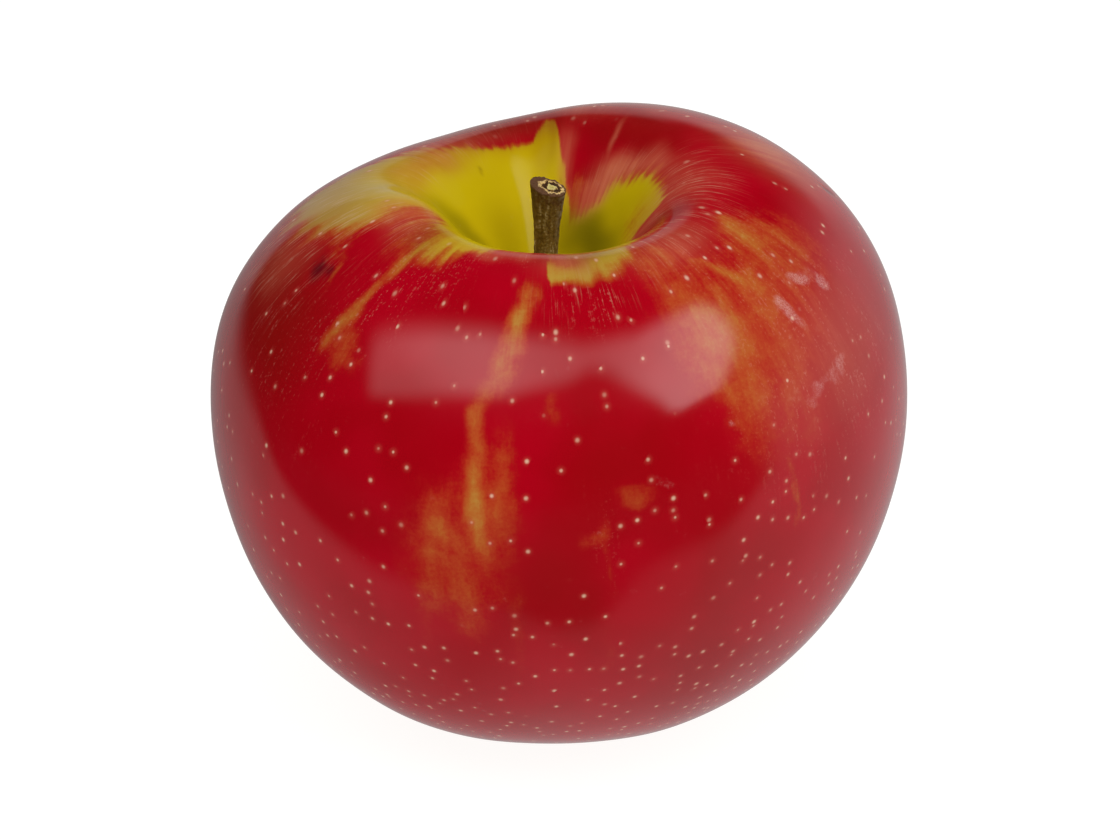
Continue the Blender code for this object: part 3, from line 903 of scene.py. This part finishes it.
def skin_dots(kit, reach):
    """The dots and the paler halos round them, at scattered points of a grid of cells.

    The distance to the nearest point is worked out in millimetres, sideways and outwards, and a
    dot or halo fades with it. Which points have a dot, and how wide and pale it is, is random.
    """
    cells = kit.attribute("dot_cells", "Vector")
    sockets = {"Vector": cells, "Scale": 1.0, "Randomness": DOT_SCATTER}
    nearest = kit.node("ShaderNodeTexVoronoi", {"voronoi_dimensions": "2D"}, sockets)
    sockets = {0: cells, 1: Value(kit, nearest.outputs["Position"])}
    offset = kit.value("ShaderNodeVectorMath", {"operation": "SUBTRACT"}, sockets)
    offset = kit.node("ShaderNodeSeparateXYZ", {}, {0: offset})
    chance = kit.node("ShaderNodeSeparateColor", {}, {"Color": Value(kit, nearest.outputs["Color"])})
    luck, size, paleness = (Value(kit, chance.outputs[i]) for i in range(3))
    side_way = Value(kit, offset.outputs[0]) * kit.attribute("breadth") * (1.0 / DOT_COLUMNS)
    long_way = Value(kit, offset.outputs[1]) * DOT_ROW * reach.between(*LONG_DOTS_SPAN, LONG_DOTS_SHARE, 1.0)
    away = (side_way * side_way + long_way * long_way) ** 0.5
    wanted = reach.between(*DOT_SPREAD_SPAN, FEWEST_DOTS, MOST_DOTS)
    has_dot = (wanted - luck).between(0.0, 0.01)
    has_dot = has_dot * reach.between(*FIRST_DOTS_SPAN) * reach.between(*LAST_DOTS_SPAN, 1.0, 0.1)
    radius = size * DOT_RADIUS_RANGE + DOT_RADIUS
    amount = paleness * DOT_AMOUNT_RANGE + DOT_AMOUNT
    dot = (away / radius).between(*DOT_EDGE_SPAN, 1.0, 0.0) * has_dot * amount
    halo = away.between(0.0, HALO_RADIUS, 1.0, 0.0) ** 2.0 * has_dot
    return dot, halo


def skin_material():
    """Waxy skin: a red blush over a yellow ground, with pale dots, lines and flecks and painted shade in the
    funnel and furrows, under a clear wax.
    """
    material, kit, shader = new_material("waxy_skin")
    place = kit.value("ShaderNodeTexCoord", output="Object")
    strand = kit.attribute("strand", "Vector")
    names = ("bare", "reach", "deeper", "pink", "combed", "flecked", "scuffed", "bruised")
    bare, reach, deeper, pink, combed, flecked, scuffed, bruised = map(kit.attribute, names)

    broad = kit.noise(place, BROAD_SCALE)
    streaks = kit.noise(kit.stretched(strand, STREAK_STRETCH), 1.0, 4.0, 0.65)
    hairs = kit.noise(kit.stretched(strand, HAIR_STRETCH), 1.0, 2.0, 0.6)
    mottle = kit.noise(place, MOTTLE_SCALE, 3.0, 0.6)
    grain = kit.noise(place, GRAIN_SCALE, 3.0, 0.65)

    ragged = (streaks - 0.5) * reach.between(*STREAK_SPAN, *STREAK_SHARES)
    ragged = ragged + (mottle - 0.5) * MOTTLE_SHARE + (grain - 0.5) * GRAIN_SHARE
    unsure = bare * (1.0 - bare) * 4.0
    unsure = unsure * reach.between(*RAGGED_SPAN, *RAGGED_SHARES) + RAGGED_ALWAYS
    shown = (bare + ragged * unsure).between(0.0, 1.0)

    red = kit.mix(broad.between(0.35, 0.65), RED_DEEP, RED_BRIGHT)
    outer = kit.ramp(shown, OUTER_COLOURS)
    inner = kit.ramp(shown, INNER_COLOURS)
    colour = kit.mix(reach.between(*OUTER_SPAN), inner, outer)
    # Painted shade: the dark green deep in the funnel, in the left furrow's fold and at the near crest.
    colour = kit.mix(kit.attribute("green"), colour, SHADED_GREEN_GROUND)
    colour = kit.mix(shown.between(0.0, 0.22), red, colour)
    # The deep marks: thick blush, and painted shade in the furrows, at the funnel's near crest and low on the
    # front.
    colour = kit.mix(deeper, colour, DEEP_BLUSH_AND_SHADE)

    colour = kit.mix(pink * streaks.between(0.3, 0.7, 0.55, 0.95), colour, PINK)
    lines = (hairs + (mottle - 0.5) * 0.3).between(0.53, 0.72) * combed
    colour = kit.mix(lines * LINE_AMOUNT, colour, LINE_PALE)
    flecks = (grain * 0.6 + hairs * 0.4 + (streaks - 0.5) * 0.25).between(0.56, 0.66) * flecked
    colour = kit.mix(flecks * FLECK_AMOUNT, colour, FLECK_PALE)

    dot, halo = skin_dots(kit, reach)
    colour = kit.mix(halo * HALO_AMOUNT, colour, DOT_HALO)
    colour = kit.mix(dot, colour, DOT_PALE)

    threads = (grain - 0.5).math("ABSOLUTE").between(0.0, 0.06, 1.0, 0.12)
    rubbed = (scuffed + (mottle - 0.5) * SCUFF_MOTTLE).between(0.25, 0.9)
    rubbed = rubbed * (threads * SCUFF_THREADS + SCUFF_LEAST)
    colour = kit.mix(rubbed, colour, SCUFF_PALE)
    colour = kit.mix(bruised * mottle.between(0.3, 0.5), colour, BRUISE_DARK)

    wax = reach.between(*WAX_SPAN, FUNNEL_WAX, 1.0) + kit.attribute("glossy")
    wax = wax * (1.0 - rubbed * RUBBED_WAX)
    kit.tree.links.new(wax.socket, shader.inputs["Coat Weight"])
    roughness = mottle.between(0.3, 0.7, LEAST_ROUGHNESS, MOST_ROUGHNESS)
    heights = ((mottle, MOTTLE_BUMP), (dot + rubbed, MARK_BUMP))
    constants = {"IOR": 1.45, "Specular IOR Level": 0.0, "Coat IOR": 1.45, "Coat Roughness": WAX_ROUGHNESS}
    finish_shader(kit, shader, colour, roughness, heights, constants)
    return material


def bark_material():
    """Dry speckled bark, with a pale ring, a dark broken ring and pale pith on the cut face."""
    material, kit, shader = new_material("dry_bark")
    place = kit.value("ShaderNodeTexCoord", output="Object")
    parts = kit.node("ShaderNodeSeparateXYZ", {}, {0: kit.attribute("face", "Vector")})
    rightward, along = Value(kit, parts.outputs[0]), Value(kit, parts.outputs[2])
    wood = kit.attribute("wood")
    streaks = kit.noise(kit.stretched(place, BARK_STRETCH), BARK_STREAK_SCALE, 4.0, 0.65)
    specks = kit.noise(place, BARK_SPECK_SCALE, 3.0, 0.6)
    blots = kit.noise(place, BARK_BLOT_SCALE)

    bark = kit.ramp(streaks * 0.6 + specks * 0.4, BARK_COLOURS)
    below_cut = along.between(0.86, 0.95) * blots.between(0.35, 0.6, 1.0, 0.4)
    bark = kit.mix(below_cut * 0.8, bark, BARK_DARK)
    weathered = along.between(0.55, 0.9) * rightward.between(0.55, 0.9) * blots.between(0.4, 0.6)
    bark = kit.mix(weathered * 0.6, bark, BARK_GREY)
    face = kit.ramp(wood + (specks - 0.5) * 0.55 + (blots - 0.5) * 0.35, CUT_FACE_COLOURS)
    on_face = along.between(0.985, 0.995)
    colour = kit.mix(on_face, bark, face)
    roughness = streaks.between(0.2, 0.8, 0.6, 0.9)
    heights = ((streaks, 0.06 * MM), (specks, 0.05 * MM))
    finish_shader(kit, shader, colour, roughness, heights, {"IOR": 1.45})
    return material


def sepal_material():
    """Dry leaf tissue: dark at the root, paler and greyer at the tip, with fine fuzz and blots."""
    material, kit, shader = new_material("dry_sepal")
    place = kit.value("ShaderNodeTexCoord", output="Object")
    along = kit.attribute("along")
    fuzz = kit.noise(place, LEAF_FUZZ_SCALE, 4.0, 0.7)
    blots = kit.noise(place, LEAF_BLOT_SCALE)
    colour = kit.ramp(along * 0.5 + fuzz * 0.35 + blots * 0.25, LEAF_COLOURS)
    roughness = fuzz.between(0.2, 0.8, 0.7, 0.95)
    finish_shader(kit, shader, colour, roughness, ((fuzz, 0.05 * MM),), {"IOR": 1.4})
    return material


def make_floor():
    """A wide level square, whose white is mostly its own light, as on a light table."""
    signs = ((-1, -1), (1, -1), (1, 1), (-1, 1))
    corners = [(x * FLOOR_HALF_SIDE, y * FLOOR_HALF_SIDE, 0.0) for x, y in signs]
    mesh = bpy.data.meshes.new("pale_floor")
    mesh.from_pydata(corners, [], [(0, 1, 2, 3)])
    floor = bpy.data.objects.new("pale_floor", mesh)
    bpy.context.scene.collection.objects.link(floor)
    material, _, shader = new_material("pale_floor")
    shader.inputs["Base Color"].default_value = (FLOOR_WHITE, FLOOR_WHITE, FLOOR_WHITE, 1.0)
    shader.inputs["Roughness"].default_value = 0.9
    shader.inputs["Specular IOR Level"].default_value = 0.0
    shader.inputs["Emission Color"].default_value = (1.0, 1.0, 0.98, 1.0)
    shader.inputs["Emission Strength"].default_value = FLOOR_GLOW
    mesh.materials.append(material)
    floor.visible_glossy = False


def make_world():
    """A plain white room for the camera, and a studio with two soft boxes for everything else."""
    world = bpy.data.worlds.new("studio")
    bpy.context.scene.world = world
    world.use_nodes = True
    tree = world.node_tree
    tree.nodes.clear()
    kit = NodeKit(tree)
    way = kit.value("ShaderNodeTexCoord", output="Generated")
    parts = kit.node("ShaderNodeSeparateXYZ", {}, {0: way})
    x, y, z = (Value(kit, parts.outputs[i]) for i in range(3))

    height = z.math("MAXIMUM", 0.02)
    across, deep = x / height, y / height
    far_edge = (deep - kit.curve(across, CEILING_FAR_EDGE)).between(*CEILING_FAR_FADE, 1.0, 0.0)
    near_edge = (deep - kit.curve(across, CEILING_NEAR_EDGE)).between(*CEILING_NEAR_FADE)
    left_end = (across - deep * CEILING_LEFT_SLANT).between(*CEILING_LEFT_SPAN)
    right_end = (across + deep * CEILING_RIGHT_SLANT).between(*CEILING_RIGHT_SPAN, 1.0, 0.0)
    ceiling = far_edge * near_edge * left_end * right_end * z.between(0.05, 0.2)
    ceiling = ceiling * kit.curve(across, CEILING_GLOW) * CEILING_STRENGTH

    # The pale table and wall in front end at a slanting line, with a notch in it right of the middle.
    notch = x.between(-0.15, 0.05) * x.between(0.15, 0.35, 1.0, 0.0)
    near_side = y + x * 0.2 - z * 1.2 + (x + 0.6).math("MINIMUM", 0.0) * 0.6 - notch * 0.22
    on_table = near_side.between(-0.08, 0.18) * y.between(-0.8, -0.3, 0.5, 1.0)
    below_top = (z - kit.curve(x, WALL_TOP)).between(-0.1, 0.1, 1.0, 0.0)
    table = on_table * below_top * kit.curve(x, WALL_GLOW)
    right_wall = x.between(0.4, 0.7) * y.between(-0.5, -0.2)
    right_wall = right_wall * z.between(-0.35, -0.2) * z.between(0.1, 0.5, 0.55, 0.0)
    strength = ceiling + table.math("MAXIMUM", right_wall) + DARK_GLOW
    camera_ray = kit.value("ShaderNodeLightPath", output="Is Camera Ray")
    strength = strength + camera_ray * (1.0 - strength)
    light = kit.node("ShaderNodeBackground", {}, {"Color": (1.0, 1.0, 1.0, 1.0), "Strength": strength})
    output = kit.node("ShaderNodeOutputWorld")
    tree.links.new(light.outputs[0], output.inputs[0])


def make_light(name, rightward, elevation, distance, size, power):
    """A square soft light that looks at the fruit, from degrees to the right of the front and up."""
    turn, tilt = np.radians(rightward), np.radians(elevation)
    back = np.array([np.sin(turn) * np.cos(tilt), -np.cos(turn) * np.cos(tilt), np.sin(tilt)])
    lamp = bpy.data.lights.new(name, "AREA")
    lamp.shape = "SQUARE"
    lamp.size = size
    lamp.energy = power
    light = bpy.data.objects.new(name, lamp)
    light.location = BODY_MIDDLE + back * distance
    light.rotation_euler = (np.pi / 2.0 - tilt, 0.0, turn)
    light.visible_camera = False
    light.visible_glossy = False
    bpy.context.scene.collection.objects.link(light)


def make_camera():
    """The photograph's view: from the front and above, towards the body's middle."""
    tilt = np.radians(CAMERA_ELEVATION)
    lens = bpy.data.cameras.new("camera")
    lens.sensor_width = SENSOR_WIDTH
    lens.lens = SENSOR_WIDTH * FOCAL_LENGTH / PHOTO_WIDTH
    lens.shift_x = SHIFT_RIGHT / PHOTO_WIDTH
    lens.shift_y = SHIFT_UP / PHOTO_WIDTH
    lens.clip_start = 0.01
    camera = bpy.data.objects.new("camera", lens)
    back = np.array([0.0, -np.cos(tilt), np.sin(tilt)])
    camera.location = BODY_MIDDLE + back * CAMERA_DISTANCE
    camera.rotation_euler = (np.pi / 2.0 - tilt, 0.0, 0.0)
    bpy.context.scene.collection.objects.link(camera)
    bpy.context.scene.camera = camera


make_camera()
make_world()
make_floor()
for light in STUDIO_LIGHTS:
    make_light(*light)

skin = make_skin()
skin.data.materials.append(skin_material())
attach(skin, "root")
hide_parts("fruit")

stem = make_stem()
stem.data.materials.append(bark_material())
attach(stem, "root")
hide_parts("stem")

calyx = make_calyx()
calyx.data.materials.append(sepal_material())
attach(calyx, "root")
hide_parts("calyx")

scene = bpy.context.scene
scene.view_settings.view_transform = "Standard"
scene.view_settings.look = "None"
